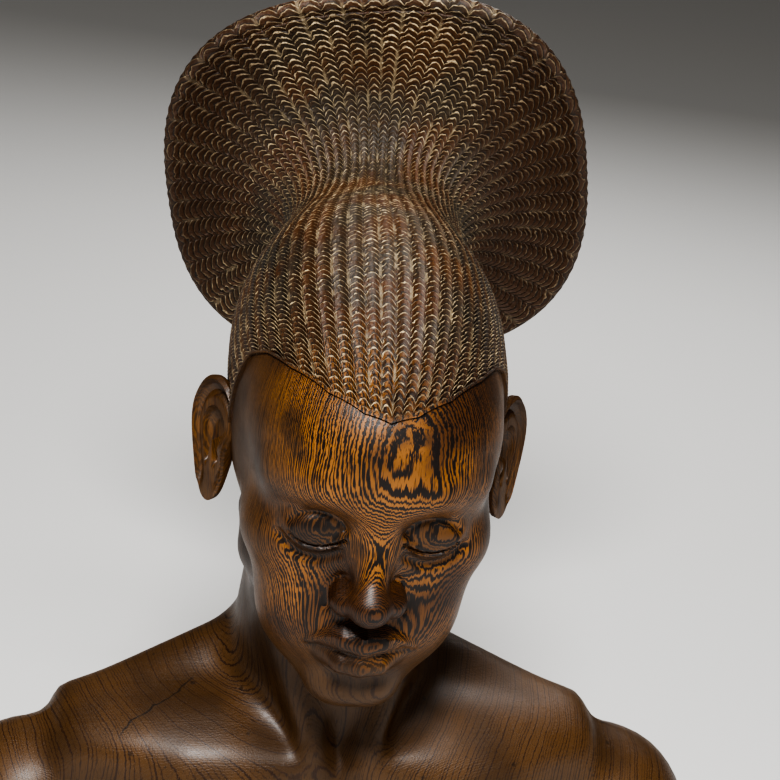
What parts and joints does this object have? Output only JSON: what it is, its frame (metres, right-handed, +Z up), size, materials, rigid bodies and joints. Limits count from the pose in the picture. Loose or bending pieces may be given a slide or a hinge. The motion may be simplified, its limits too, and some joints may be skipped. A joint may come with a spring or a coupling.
{
  "type": "carved wooden bust",
  "caption": "Life-size hardwood bust with a bowed head, close braided hair and a broad flared disc coiffure, cut flat through the upper chest.",
  "frame": {"origin": "on the flat underside, below the middle of the neck's foot", "axes": "+Z up, -Y the way the chest faces, +X to the bust's own left"},
  "size_m": [0.4449, 0.3644, 0.4921],
  "materials": {
    "hardwood": "dark banded tropical hardwood, oiled and rubbed to a satin sheen"
  },
  "bodies": {
    "root": {"figurehead_bust": "hardwood"}
  },
  "joints": []
}
